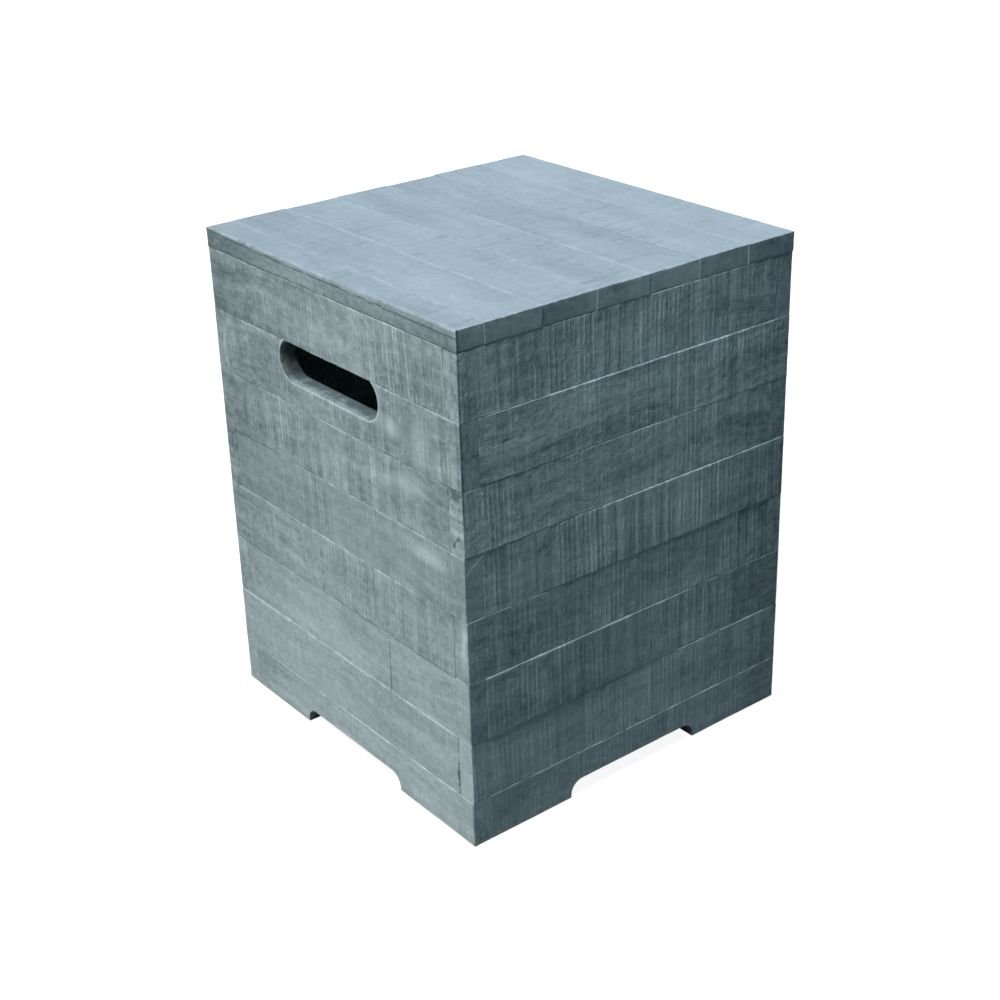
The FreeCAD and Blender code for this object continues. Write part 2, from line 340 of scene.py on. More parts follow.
def weatheredMaterial(name, values):
    material, tree, surface = newMaterial(name)
    grain = attributeOf(tree, "grain", "Vector")
    edge = attributeOf(tree, "edge", "Fac")                 # 1 at a worn edge, -1 at a dark joint and along painted shade in the gaps
    tint = attributeOf(tree, "tint", "Fac")                 # lighter or darker boards
    sawn = attributeOf(tree, "sawn", "Fac")                 # how much the saw marks show
    fine = attributeOf(tree, "fine", "Fac")                 # strength of the fine marks
    rim, cut, end = openingOn(tree, values)
    rough = ramp(tree, cut, 0.0, 0.2, 1.0, 0.0)             # no saw marks inside an opening

    along, into, across = parted(tree, grain)
    bend = times(tree, centred(tree, noiseOf(tree, grain, (6, 3, 9), 1, seed=5)), values["grainBend"])
    bent = joined(tree, along, into, summed(tree, across, bend))
    lines = centred(tree, noiseOf(tree, bent, (3.5, 90, 65), 4, 0.75, seed=6))
    lines = times(tree, lines, ramp(tree, sawn, 0.0, 1.2, 1.3, 0.6), rough, fine)
    blotch = times(tree, centred(tree, noiseOf(tree, grain, (7, 18, 20), 3, 0.6, seed=7)), fine)
    speck = times(tree, centred(tree, noiseOf(tree, grain, (130, 200, 160), 3, 0.7, seed=8)), fine)
    pit = times(tree, ramp(tree, noiseOf(tree, grain, (260, 300, 210), 1, seed=9), 0.66, 0.80), rough)
    wide, narrow = [times(tree, mark, sawn, rough) for mark in sawMarks(tree, grain, values["saw"])]
    wearNoise = noiseOf(tree, grain, (45, 60, 60), 3, 0.6, seed=10)
    worn = mathOf(tree, "MAXIMUM", times(tree, edge, ramp(tree, wearNoise, *values["wornFrom"])), 0.0)
    broken = ramp(tree, noiseOf(tree, grain, (22, 60, 60), 2, 0.6, seed=15), 0.34, 0.58, 0.2, 1.0)
    # dark joints, together with painted shade in the gaps and a painted shadow on the lid
    joint = times(tree, ramp(tree, edge, -0.9, 0.0, 1.0, 0.0), broken)
    scar = scarOn(tree, times(tree, summed(tree, speck, blotch), 2.5))
    mottle = times(tree, cut, centred(tree, noiseOf(tree, grain, (70, 70, 70), 3, 0.6, seed=14)))

    # The cut terms darken an opening's inside with painted shade
    tone = summed(tree, 0.5, tint, scar,
                  times(tree, blotch, values["blotchTone"]),
                  times(tree, lines, values["grainTone"]),
                  times(tree, speck, values["speckTone"]),
                  times(tree, wide, values["wideTone"]),
                  times(tree, summed(tree, narrow, -0.2), values["narrowTone"]),
                  times(tree, pit, -values["pitTone"]),
                  times(tree, worn, values["edgeTone"]),
                  times(tree, joint, -values["jointAndGapShadeTone"]),
                  times(tree, rim, attributeOf(tree, "rim", "Fac")),
                  times(tree, cut, -values["openingShadeTone"]),
                  times(tree, mottle, values["mottleTone"]))
    # Painted shade inside an opening: the colour goes towards near-black, deeper in and at its ends, broken
    # by the mottle
    shade = summed(tree, times(tree, cut, values["cutShade"]), times(tree, mottle, -values["mottleShade"]),
                   times(tree, end, values["endShade"]))
    wood = mixed(tree, tone, values["dark"], values["light"])
    tree.links.new(mixed(tree, shade, wood, values["openingShadeColour"]), surface.inputs["Base Color"])
    surface.inputs["Roughness"].default_value = values["roughness"]
    surface.inputs["Specular IOR Level"].default_value = values["specular"]

    height = summed(tree, times(tree, wide, values["wideHeight"]),
                    times(tree, narrow, values["narrowHeight"]),
                    times(tree, lines, values["grainHeight"]),
                    times(tree, speck, rough, values["speckHeight"]),
                    times(tree, pit, -values["pitHeight"]),
                    times(tree, scar, values["scarHeight"]))
    bump = addNode(tree, "ShaderNodeBump", {"Height": height, "Distance": mm})
    tree.links.new(bump.outputs[0], surface.inputs["Normal"])
    return material


wallMaterial = weatheredMaterial("weatheredWall", wallWood)
lidMaterial = weatheredMaterial("weatheredLid", lidWood)
print("materials ready")


# The board tree: a gridded block with worn round edges and faces rough from the saw

boardInputs = {
    "Vector": ("Size", "Centre", "Grain Shift"),
    "Int": ("Columns", "Layers", "Rows"),
    "Float": ("Edge Radius", "Upper Wear", "Lower Wear", "End Wear", "Face Relief", "Saw Relief",
              "Seam Wander", "Wall Seed", "Seed"),
    "Material": ("Material",),
}
wearReach = {"end": 6 * mm, "face": 5 * mm}     # how deep the wear of the ends and the rough face go


def boardTree(name, saw):
    tree = bpy.data.node_groups.new(name, "GeometryNodeTree")
    for kind, sockets in boardInputs.items():
        for socket in sockets:
            tree.interface.new_socket(name=socket, in_out="INPUT", socket_type="NodeSocket" + kind)
    tree.interface.new_socket(name="Board", in_out="OUTPUT", socket_type="NodeSocketGeometry")
    given = addNode(tree, "NodeGroupInput").outputs
    seed = given["Seed"]

    block = addNode(tree, "GeometryNodeMeshCube", {
        "Size": (2.0, 2.0, 2.0), "Vertices X": given["Columns"], "Vertices Y": given["Layers"],
        "Vertices Z": given["Rows"]}).outputs[0]
    share = parted(tree, addNode(tree, "GeometryNodeInputPosition").outputs[0])

    def crowded(value, power):                              # -1 to 1, with finer steps near both ends
        inner = mathOf(tree, "SUBTRACT", 1.0, mathOf(tree, "ABSOLUTE", value))
        reach = mathOf(tree, "SUBTRACT", 1.0, mathOf(tree, "POWER", inner, power))
        return times(tree, reach, mathOf(tree, "SIGN", value))

    across = crowded(share[2], 1.9)
    depth = mathOf(tree, "POWER", times(tree, summed(tree, share[1], 1.0), 0.5), 2.0)
    into = mathOf(tree, "SUBTRACT", times(tree, depth, 2.0), 1.0)
    half = vectorOf(tree, "MULTIPLY", given["Size"], (0.5, 0.5, 0.5))
    place = vectorOf(tree, "MULTIPLY", joined(tree, crowded(share[0], 1.2), into, across), half)
    inWall = vectorOf(tree, "ADD", place, given["Centre"])
    grain = vectorOf(tree, "ADD", inWall, given["Grain Shift"])
    halfParts, parts, wallParts = parted(tree, half), parted(tree, place), parted(tree, inWall)
    centreParts = parted(tree, given["Centre"])
    side = mathOf(tree, "SIGN", parts[2])

    def gap(axis):                                          # distance to the nearer face along an axis
        return mathOf(tree, "SUBTRACT", halfParts[axis], mathOf(tree, "ABSOLUTE", parts[axis]))

    # Worn edges: each point goes onto a ball of the local radius round the shrunken block
    upper = times(tree, summed(tree, side, 1.0), 0.5)
    seamWear = summed(tree, times(tree, given["Upper Wear"], upper),
                      times(tree, given["Lower Wear"], mathOf(tree, "SUBTRACT", 1.0, upper)))
    atEnd = ramp(tree, gap(0), 0.0, wearReach["end"], 1.0, 0.0)
    wear = summed(tree, seamWear, times(tree, atEnd, mathOf(tree, "SUBTRACT", given["End Wear"], seamWear)))
    chips = ramp(tree, noiseOf(tree, inWall, (38, 38, 38), 3, 0.6, seed), 0.50, 0.76)
    crumbs = noiseOf(tree, inWall, (210, 210, 210), 2, 0.6, seed)
    radius = summed(tree, given["Edge Radius"], times(tree, wear, chips, summed(tree, crumbs, 0.4)))
    core = vectorOf(tree, "SUBTRACT", half, joined(tree, radius, radius, radius))
    minusCore = vectorOf(tree, "MULTIPLY", core, (-1.0, -1.0, -1.0))
    held = vectorOf(tree, "MAXIMUM", vectorOf(tree, "MINIMUM", place, core), minusCore)
    away = vectorOf(tree, "NORMALIZE", vectorOf(tree, "SUBTRACT", place, held))
    out = vectorOf(tree, "MULTIPLY", away, joined(tree, radius, radius, radius))
    rounded = vectorOf(tree, "ADD", held, out)

    # Rough faces: the outer face and the ends lose a little wood
    fromFace = mathOf(tree, "ADD", parts[1], halfParts[1])
    onFace = ramp(tree, fromFace, 0.0, wearReach["face"], 1.0, 0.0)
    swell = times(tree, given["Face Relief"], noiseOf(tree, inWall, (9, 9, 26), 2, 0.5, seed))
    bars = summed(tree, 0.5, times(tree, sawMarks(tree, grain, saw)[0], -1.0))
    teeth = times(tree, given["Saw Relief"], bars)
    inward = times(tree, onFace, summed(tree, swell, teeth))
    endLoss = times(tree, atEnd, given["Face Relief"], noiseOf(tree, inWall, (90, 240, 110), 2, 0.6, seed))
    alongLoss = times(tree, endLoss, mathOf(tree, "SIGN", parts[0]), -1.0)

    # Seams: both boards of a seam wander by the same amount, because they read the same line of noise
    seamZ = summed(tree, centreParts[2], times(tree, side, halfParts[2]))
    seamPlace = joined(tree, wallParts[0], given["Wall Seed"], seamZ)
    slow = centred(tree, noiseOf(tree, seamPlace, (13, 1, 90), 1))
    quick = centred(tree, noiseOf(tree, seamPlace, (85, 1, 90), 2))
    nearSeam = mathOf(tree, "POWER", mathOf(tree, "ABSOLUTE", across), 5.0)
    wander = times(tree, nearSeam, given["Seam Wander"],
                   summed(tree, times(tree, slow, 2.0), times(tree, quick, 0.8)))

    moved = vectorOf(tree, "ADD", vectorOf(tree, "ADD", rounded, given["Centre"]),
                     joined(tree, alongLoss, inward, wander))
    shaped = addNode(tree, "GeometryNodeSetPosition", {"Geometry": block, "Position": moved}).outputs[0]
    real = addNode(tree, "GeometryNodeRealizeInstances", {"Geometry": shaped}).outputs[0]
    smooth = addNode(tree, "GeometryNodeSetShadeSmooth", {"Geometry": real}).outputs[0]
    painted = addNode(tree, "GeometryNodeSetMaterial", {"Geometry": smooth, "Material": given["Material"]})
    addNode(tree, "NodeGroupOutput", {"Board": painted.outputs[0]})
    return tree


wallTree = boardTree("sawnWallBoard", wallSaw)
lidTree = boardTree("sawnLidPlank", lidSaw)


def fromTree(tree, name, values):
    # Run a tree with these inputs and keep its result as a plain mesh
    holder = bpy.data.objects.new(name + ".maker", bpy.data.meshes.new(name + ".maker"))
    bpy.context.scene.collection.objects.link(holder)
    modifier = holder.modifiers.new("maker", "NODES")
    modifier.node_group = tree
    sockets = {item.name: item.identifier for item in tree.interface.items_tree if item.in_out == "INPUT"}
    for key, value in values.items():
        modifier[sockets[key]] = value
    ready = holder.evaluated_get(bpy.context.evaluated_depsgraph_get())
    mesh = bpy.data.meshes.new_from_object(ready)
    mesh.name = name
    bpy.data.objects.remove(holder)
    return mesh


def pointsOf(mesh):
    points = np.empty(len(mesh.vertices) * 3, np.float32)
    mesh.vertices.foreach_get("co", points)
    return points.reshape(-1, 3)


def setPoints(mesh, points):
    mesh.vertices.foreach_set("co", points.astype(np.float32).ravel())
    mesh.update()


# Sizes of the boards, read from the CAD nodes

outerHalf = cadBounds[1].x
innerHalf = -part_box("left_board_1")[1].x

boardShape = {
    "Columns": 260, "Layers": 8, "Rows": 30,
    "Edge Radius": 0.35 * mm, "Upper Wear": 1.6 * mm, "Lower Wear": 1.6 * mm, "End Wear": 1.6 * mm,
    "Face Relief": 0.5 * mm, "Saw Relief": 0.35 * mm, "Seam Wander": 0.5 * mm,
}
plankShape = dict(boardShape, Layers=16)
plankShape.update({"Upper Wear": 1.1 * mm, "Lower Wear": 1.1 * mm, "Face Relief": 0.25 * mm,
                   "Saw Relief": 0.15 * mm})
boardFinish = {
    "standBack": 1.15 * mm,              # mean depth of the wall faces behind the outer size
    "margin": 0.05 * mm,                 # no face comes nearer than this to the outer size
    "ragged": 0.4 * mm,                  # how much a step changes along its seam
    "stepFade": (172 * mm, 196 * mm),    # the steps between boards fade towards the corners
    "cornerStep": 0.25,                  # and keep this share there
    "proudRadius": 0.3 * mm,             # roundness of an upper edge
    "proudShare": 0.55,                  # and what its step adds
    # painted light towards each wall's foot: painted floor bounce on the left wall, painted shade on the
    # front
    "paintedFootShading": {"left": 0.15, "front": -0.09, "right": 0.0, "back": 0.0},
    "endBand": 1.5 * mm,                 # how deep the tone of an end face goes
    "edgeBand": 2.2 * mm,                # how wide the worn edges are
    "gapShadeBand": 1.3 * mm,               # painted shade in the gap along each board's lower edge
    "gapShadeDark": 1.5,
    "cornerLine": {"inFrom": 2.4 * mm, "band": 1.4 * mm, "deep": 2 * mm, "heights": (0.32, 0.37),
                   "shows": (0.0, 1.1)},
    "openingEnds": (60 * mm, 15 * mm),   # where an opening's ends begin, and over what length they fade in
    "sharpAngle": 40,
}
lidFinish = {
    "standBack": 0.8 * mm,
    "edgeBand": 3 * mm,
    "sideFrom": 0.3 * mm,                # the side faces begin this far below the upper face
    "sideBand": 0.6 * mm,                # how deep their tone goes
    "sideFine": 2.2,                     # strength of the fine marks on them
    "sawnShares": (1.3, 1.0, 0.3),       # saw marks at the front, in the middle and at the back
    "seamShow": (0.4, 0.6),              # wear at the long edges: the least, and what the joint adds
    "lowRow": (3.5 * mm, 1.7 * mm),      # points between these heights over the lower face move down
    "leftRound": (2.5 * mm, 4 * mm, 1.5 * mm),    # the left upper edge, at its front, middle and back
    "leftUneven": (0.6, 1.0),
    "tear": (6.5 * mm, 4.5 * mm, 2.0 * mm),       # a torn line on the left side, below the upper edge
    "tearSteps": 60,
    "tearRagged": 0.8,                   # in mm
    "tearTone": 0.09,                    # the wood above it is paler
    "tearShade": {"dark": 0.45, "below": 0.9 * mm, "band": 1.4 * mm},    # and a shadow runs under it
}
boardTints = {
    "front": (-0.04, 0.0, 0.06, -0.04, -0.12, -0.12, 0.05, 0.0),
    "left": (0.04, -0.01, -0.03, -0.05, -0.06, 0.0, 0.08, -0.01),
}
boardFine = {
    "front": (1.5, 1.6, 1.5, 1.1, 1.1, 1.0, 0.9, 0.9),
    "left": (1.2, 1.2, 1.1, 0.75, 1.1, 1.0, 1.0, 1.0),
}
plankTints = (-0.11, -0.09, -0.06, -0.07, -0.09, -0.02, 0.02)
lidSideTint = {"front": -0.11, "left": -0.23, "right": -0.1, "back": -0.1}

# Walls are darker towards their ends: tint at five places from left to right
fivePlaces = [-0.18, -0.09, 0.0, 0.09, 0.18]
endTint = {"front": (-0.07, -0.03, 0.01, 0.02, -0.19), "left": (-0.13, -0.02, 0.0, 0.01, -0.03),
           "right": (-0.1, -0.03, 0.01, 0.0, -0.1), "back": (-0.12, -0.02, 0.0, 0.01, -0.08)}

# How much the wear shows at the joints: at the ends of the wall boards, and at the lid's edges and seams in
# turn. Below zero the joint is dark.
endShow = {
    "front": (0.3, -0.9, 0.2, 0.3, 0.2, 0.1, 0.2, 0.4),
    "left": (0.9, 0.2, 0.4, 0.2, 0.7, 0.2, 0.5, 0.2),
    "right": (0.5,) * courseCount,
    "back": (0.5,) * courseCount,
}
lidShow = (1.0, 0.35, 1.0, 0.3, 1.0, 0.3, 0.35, 1.0)

# The far ends of the front and left walls, away from the corner they share: their side, how much wear shows
# there, and by how much the board ends that show there are lighter or darker, by wall and course
farSide = {"front": 1, "left": -1, "right": 0, "back": 0}
farEndShow = 0.15
farEndTint = {("left", 2): 0.12, ("left", 4): -0.22, ("left", 6): 0.08, ("front", 3): -0.14,
              ("front", 5): 0.14}

# How much the saw marks show on each board, at the five places
sawnShares = {
    "front": [(0.7, 1.0, 0.9, 0.8, 0.2), (0.2, 0.5, 0.5, 0.9, 0.4), (0.9, 0.3, 0.7, 1.0, 0.3),
              (0.7, 0.9, 1.2, 1.1, 0.9), (0.6, 1.0, 1.2, 1.2, 0.7), (0.3, 1.0, 0.9, 1.0, 0.3),
              (0.6, 0.5, 0.4, 0.6, 0.7), (0.5, 0.5, 0.6, 0.5, 0.4)],
    "left": [(0.3, 0.6, 0.7, 1.2, 1.3), (0.8, 0.5, 0.5, 1.0, 1.3), (0.2, 0.8, 1.1, 0.8, 0.5),
             (0.5, 0.6, 0.9, 0.6, 0.4), (0.6, 0.3, 1.1, 1.2, 0.6), (0.1, 0.2, 0.4, 0.3, 0.3),
             (0.3, 0.5, 0.5, 0.4, 0.3), (0.3, 0.3, 0.4, 0.4, 0.3)],
}

# Knots, cracks, scratches and scuffs: wall, x, z, half length and half width in mm, turn in degrees, tone
scars = [
    ("left", 186, 311, 14, 2.4, 55, -0.5), ("left", 188, 357, 7, 4, 10, -0.3),
    ("left", 75, 143, 28, 1.2, 88, -0.4), ("left", 178, 66, 12, 1.5, 90, -0.7),
    ("left", 145, 283, 24, 8, 0, 0.4), ("left", 98, 392, 9, 8, 0, 0.35),
    ("left", 138, 385, 22, 13, 80, 0.2), ("left", 193, 214, 22, 5, 86, 0.5),
    ("left", -175, 415, 14, 5, 60, 0.2), ("left", 120, 345, 24, 8, 5, 0.25),
    ("left", -102, 330, 28, 0.9, 90, -0.22), ("left", -20, 268, 28, 0.8, 90, -0.2),
    ("left", -32, 205, 28, 1.0, 90, -0.2), ("left", 27, 456, 28, 0.9, 90, -0.2),
    ("front", -188, 290, 13, 0.9, 35, 0.6), ("front", -110, 281, 7, 4, 15, -0.25),
    ("front", -149, 397, 30, 1.0, 8, -0.4), ("front", 20, 85, 24, 1.0, 88, 0.4),
    ("front", 65, 80, 27, 2.5, 90, -0.2), ("front", -148, 205, 28, 1.0, 90, -0.4),
    ("front", -165, 470, 9, 4, 70, -0.15), ("left", -185, 388, 18, 3.5, 90, 0.4),
]
scarReach = {"deep": 8 * mm, "end": 5, "fade": 2}     # depth into the board, and half sizes from the middle

# How far each lower board stands proud of the one above it, in mm, at five places from left to right.
# A proud board shows a bright ledge at the seam, and a shy one lies in shadow. The first seam is the one
# under the lid.
seamPlaces = [-0.2, -0.1, 0.0, 0.1, 0.2]
raggedPlaces = np.linspace(-0.2, 0.2, 61)
threePlaces = (-0.2, 0.0, 0.2)
seamSteps = {
    "front": [(0.1, 0.0, 0.0, 0.1, 0.6), (-0.3, 1.3, 2.0, 2.0, 1.8), (-0.6, -0.4, 0.6, -0.3, -0.5),
              (-0.6, -0.3, 1.5, 2.0, 1.8), (1.0, -0.5, -1.1, -1.2, -1.2), (1.2, 2.0, 1.8, -0.2, 0.9),
              (-1.6, -1.6, -0.8, 0.5, 1.2), (0.2, 0.5, 0.6, 0.6, 0.5)],
    "left": [(1.2, 0.3, 1.0, 1.2, 0.9), (0.6, 0.3, 0.3, 1.2, 0.5), (-0.3, -0.2, 0.2, -0.2, -0.3),
             (-0.9, -0.4, 0.5, 1.0, 1.3), (1.2, 1.2, 0.9, 0.1, -0.4), (-0.8, -0.9, -0.8, -0.9, -1.1),
             (1.2, 1.5, 1.7, 1.7, 1.6), (0.3, 0.5, 0.6, 0.4, 0.5)],
}

# The right and back walls have drawn values
farDraw = Random(11)
for wall in ("right", "back"):
    seamSteps[wall] = [[farDraw.uniform(-1.4, 1.4) for place in seamPlaces] for seam in range(courseCount)]
    sawnShares[wall] = [[farDraw.uniform(0.2, 1.2) for place in fivePlaces] for course in range(courseCount)]
    boardTints[wall] = [farDraw.uniform(-0.04, 0.04) for course in range(courseCount)]
    boardFine[wall] = [farDraw.uniform(0.9, 1.5) for course in range(courseCount)]


# Cutters: a ring of the opening's outline at each depth into the board, wider at both faces for round lips

handHole = {"length": 160 * mm, "bottom": 387 * mm, "endRadius": 20.5 * mm, "lip": 3 * mm, "rimTone": 0.5}
hoseNotch = {"length": 162 * mm, "height": 18 * mm, "endRadius": 14 * mm, "lip": 1.2 * mm, "rimTone": 0.07,
             "below": 10 * mm}          # its cutter starts this far under the board
arcSteps = 14
lipSteps = 6
uncut = (9.0, 0.0, 0.0)                 # the cut attribute away from every opening


def handHoleOutline(grow):
    radius = handHole["endRadius"] + grow
    middle = handHole["length"] / 2 - handHole["endRadius"]
    centre = handHole["bottom"] + handHole["endRadius"]
    points = []
    for side in (1, -1):
        for step in range(arcSteps + 1):
            angle = math.pi * step / arcSteps - math.pi / 2
            points.append((side * (middle + radius * math.cos(angle)),
                           centre + side * radius * math.sin(angle)))
    return points


def notchOutline(grow):
    radius = hoseNotch["endRadius"] + grow
    end = hoseNotch["length"] / 2 + grow
    shoulder = hoseNotch["length"] / 2 - hoseNotch["endRadius"]
    spring = hoseNotch["height"] - hoseNotch["endRadius"]
    points = [(-end, -hoseNotch["below"]), (end, -hoseNotch["below"])]
    for side, start in ((1, 0), (-1, math.pi / 2)):
        for step in range(arcSteps + 1):
            angle = start + math.pi / 2 * step / arcSteps
            points.append((side * shoulder + radius * math.cos(angle), spring + radius * math.sin(angle)))
    return points


def fromHandHole(points):
    # Distance outside the hand hole's outline
    middle = handHole["length"] / 2 - handHole["endRadius"]
    beyond = np.maximum(np.abs(points[:, 0]) - middle, 0)
    return np.hypot(beyond, points[:, 2] - handHole["bottom"] - handHole["endRadius"]) - handHole["endRadius"]


def fromNotch(points):
    # Distance outside the notch's outline
    shoulder = hoseNotch["length"] / 2 - hoseNotch["endRadius"]
    spring = hoseNotch["height"] - hoseNotch["endRadius"]
    beyond = np.maximum(np.abs(points[:, 0]) - shoulder, 0)
    return np.hypot(beyond, np.maximum(points[:, 2] - spring, 0)) - hoseNotch["endRadius"]


def cutterFrom(name, outline, lip):
    thickness = outerHalf - innerHalf
    turns = [math.pi / 2 * step / lipSteps for step in range(lipSteps + 1)]
    depths = [(-2 * lip, lip)]
    depths += [(lip - lip * math.cos(turn), lip - lip * math.sin(turn)) for turn in turns]
    depths += [(thickness - lip + lip * math.sin(turn), lip - lip * math.cos(turn)) for turn in turns]
    depths += [(thickness + 2 * lip, lip)]
    shape = bmesh.new()
    rings = [[shape.verts.new((x, depth - outerHalf, z)) for x, z in outline(grow)]
             for depth, grow in depths]
    for near, far in zip(rings[:-1], rings[1:]):
        for index in range(len(near)):
            after = (index + 1) % len(near)
            shape.faces.new((near[index], near[after], far[after], far[index]))
    shape.faces.new(list(reversed(rings[0])))
    shape.faces.new(rings[-1])
    bmesh.ops.recalc_face_normals(shape, faces=shape.faces)
    mesh = bpy.data.meshes.new(name)
    shape.to_mesh(mesh)
    shape.free()
    mesh.materials.append(wallMaterial)
    mesh.shade_smooth()
    cutter = bpy.data.objects.new(name, mesh)
    bpy.context.scene.collection.objects.link(cutter)
    return cutter


def cutBy(mesh, cutter):
    holder = bpy.data.objects.new("holder", mesh)
    bpy.context.scene.collection.objects.link(holder)
    cut = holder.modifiers.new("cut", "BOOLEAN")
    cut.operation, cut.solver, cut.object = "DIFFERENCE", "EXACT", cutter
    ready = holder.evaluated_get(bpy.context.evaluated_depsgraph_get())
    result = bpy.data.meshes.new_from_object(ready)
    bpy.data.objects.remove(holder)
    return result


cutters = {"hole": cutterFrom("holeCutter", handHoleOutline, handHole["lip"]),
           "notch": cutterFrom("notchCutter", notchOutline, hoseNotch["lip"])}


# Wall boards and lid planks

def coveringEnd(course):
    return -1 if course % 2 == 1 else 1     # the end of each board that shows on the wall beside it


def turnOf(wall):
    return Matrix.Rotation(math.pi / 2 * walls.index(wall), 3, "Z")


lidTurn = Matrix(((0, 0, -1), (1, 0, 0), (0, -1, 0)))     # a plank's x runs to the back, and its face is up


def localBox(node, turn):
    ends = [turn.transposed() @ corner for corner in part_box(node)]
    return Vector(min(a, b) for a, b in zip(*ends)), Vector(max(a, b) for a, b in zip(*ends))


def plainInside(mesh, innerY):
    # Join the faces of the flat inner side, away from its edges, into one
    closeness = 0.001 * mm
    shape = bmesh.new()
    shape.from_mesh(mesh)
    flat = [face for face in shape.faces
            if all(abs(point.co.y - innerY) < closeness for point in face.verts)]
    bmesh.ops.dissolve_faces(shape, faces=flat)
    shape.to_mesh(mesh)
    shape.free()


def scarField(points):
    field = np.zeros((len(points), 3))
    nearest = np.full(len(points), 1.0)
    for wall, x, z, length, width, angle, tone in scars:
        local = points @ np.array(turnOf(wall))
        right, up = local[:, 0] - x * mm, local[:, 2] - z * mm
        cosine, sine = math.cos(math.radians(angle)), math.sin(math.radians(angle))
        across = (up * cosine - right * sine) / (width * mm)
        along = (right * cosine + up * sine) / (length * mm)
        near = (local[:, 1] < scarReach["deep"] - outerHalf) & (np.hypot(right, up) < nearest)
        strength = tone * np.clip((scarReach["end"] - np.hypot(across, along)) / scarReach["fade"], 0, 1)
        field[near] = np.stack([across, along, strength], axis=1)[near]
        nearest[near] = np.hypot(right, up)[near]
    return field


def cornerLineAt(points):
    # A dark line on the front, beside its left corner
    line = boardFinish["cornerLine"]
    near = 1 - np.abs(points[:, 0] + outerHalf - line["inFrom"]) / line["band"]
    shown = np.interp(points[:, 2], line["heights"], line["shows"])
    return np.where(points[:, 1] < line["deep"] - outerHalf, near * shown, 0.0)


def finishBoard(mesh, node, body, turn, box, shift, marksOf):
    # Mark the grain and the edges, then put the board in its place
    low, high = box
    points = pointsOf(mesh)
    marks = marksOf(points)
    fromFace = points[:, 1] - low.y
    fromSeam = np.minimum(points[:, 2] - low.z, high.z - points[:, 2])
    fromEnd = np.minimum(points[:, 0] - low.x, high.x - points[:, 0])
    edge = np.zeros(len(points))
    for one, other, show in ((fromFace, fromSeam, marks["seamShow"]), (fromFace, fromEnd, marks["endShow"]),
                             (fromSeam, fromEnd, marks["jointShow"])):
        near = np.clip(1 - np.maximum(one, other) / marks["edgeBand"], 0, 1)
        edge = np.where(np.less(show, 0), edge + show * near, np.maximum(edge, show * near))
    placed = points @ np.array(turn.transposed(), np.float32)
    # painted shade along lower edges, and the dark corner line, go into the edge attribute below zero
    under = np.clip(np.maximum(marks["under"], cornerLineAt(placed)), 0, 1)
    marks["edge"] = np.where(under > 0, 0.5 * edge - boardFinish["gapShadeDark"] * under, edge)
    for name in ("edge", "tint", "sawn", "fine", "rim"):
        values = marks[name] + np.zeros(len(points))
        mesh.attributes.new(name, "FLOAT", "POINT").data.foreach_set("value", np.float32(values))
    marks["grain"], marks["scar"] = points + np.array(shift), scarField(placed)
    for name in ("grain", "scar", "cut"):
        data = mesh.attributes.new(name, "FLOAT_VECTOR", "POINT").data
        data.foreach_set("vector", np.float32(marks[name]).ravel())
    setPoints(mesh, placed)
    mesh.set_sharp_from_angle(angle=math.radians(boardFinish["sharpAngle"]))
    piece = bpy.data.objects.new(node + "_board", mesh)
    bpy.context.scene.collection.objects.link(piece)
    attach(piece, body)
    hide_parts(node)
    return piece


def stepOf(wall, seam, x):
    # How far the board under this seam stands proud of the one above it, at x
    draw = Random(1000 + 10 * walls.index(wall) + seam)
    ragged = [draw.uniform(-1, 1) * boardFinish["ragged"] for place in raggedPlaces]
    fade = np.interp(np.abs(x), boardFinish["stepFade"], (1.0, boardFinish["cornerStep"]))
    return fade * (np.interp(x, seamPlaces, seamSteps[wall][seam]) * mm + np.interp(x, raggedPlaces, ragged))


def leanOf(wall, course, x):
    # How far a board's face stands out at its upper and its lower edge
    above = stepOf(wall, course - 1, x) * (1.0 if course == 1 else 0.5)
    below = -0.5 * stepOf(wall, course, x) if course < courseCount else 0.0 * above
    return above, below


def tintOf(wall, course, x):
    middle, reach = (courseCount + 1) / 2, (courseCount - 1) / 2
    # painted light towards the foot: lighter on the left wall, darker on the front
    foot = boardFinish["paintedFootShading"][wall] * (course - middle) / reach
    return boardTints[wall][course - 1] + foot + np.interp(x, fivePlaces, endTint[wall])


def roundOff(down, deep, radius):
    # Move the points of an edge onto a circle: down and deep are their distances from the two faces
    across, into = radius - down, radius - deep
    reach = np.hypot(across, into)
    worn = (across > 0) & (into > 0) & (reach > radius)
    share = np.where(worn, radius / np.maximum(reach, 1e-9), 1.0)
    return np.where(worn, radius - across * share, down), np.where(worn, radius - into * share, deep)


def boardValues(shape, low, high, draw, wallSeed, material):
    # The board tree's inputs for one board
    values = dict(shape, Size=high - low, Centre=(low + high) / 2, Material=material)
    values["Wall Seed"] = wallSeed
    values["Grain Shift"] = [draw.uniform(-5, 5) for axis in range(3)]
    values["Seed"] = draw.uniform(0, 50)
    return values


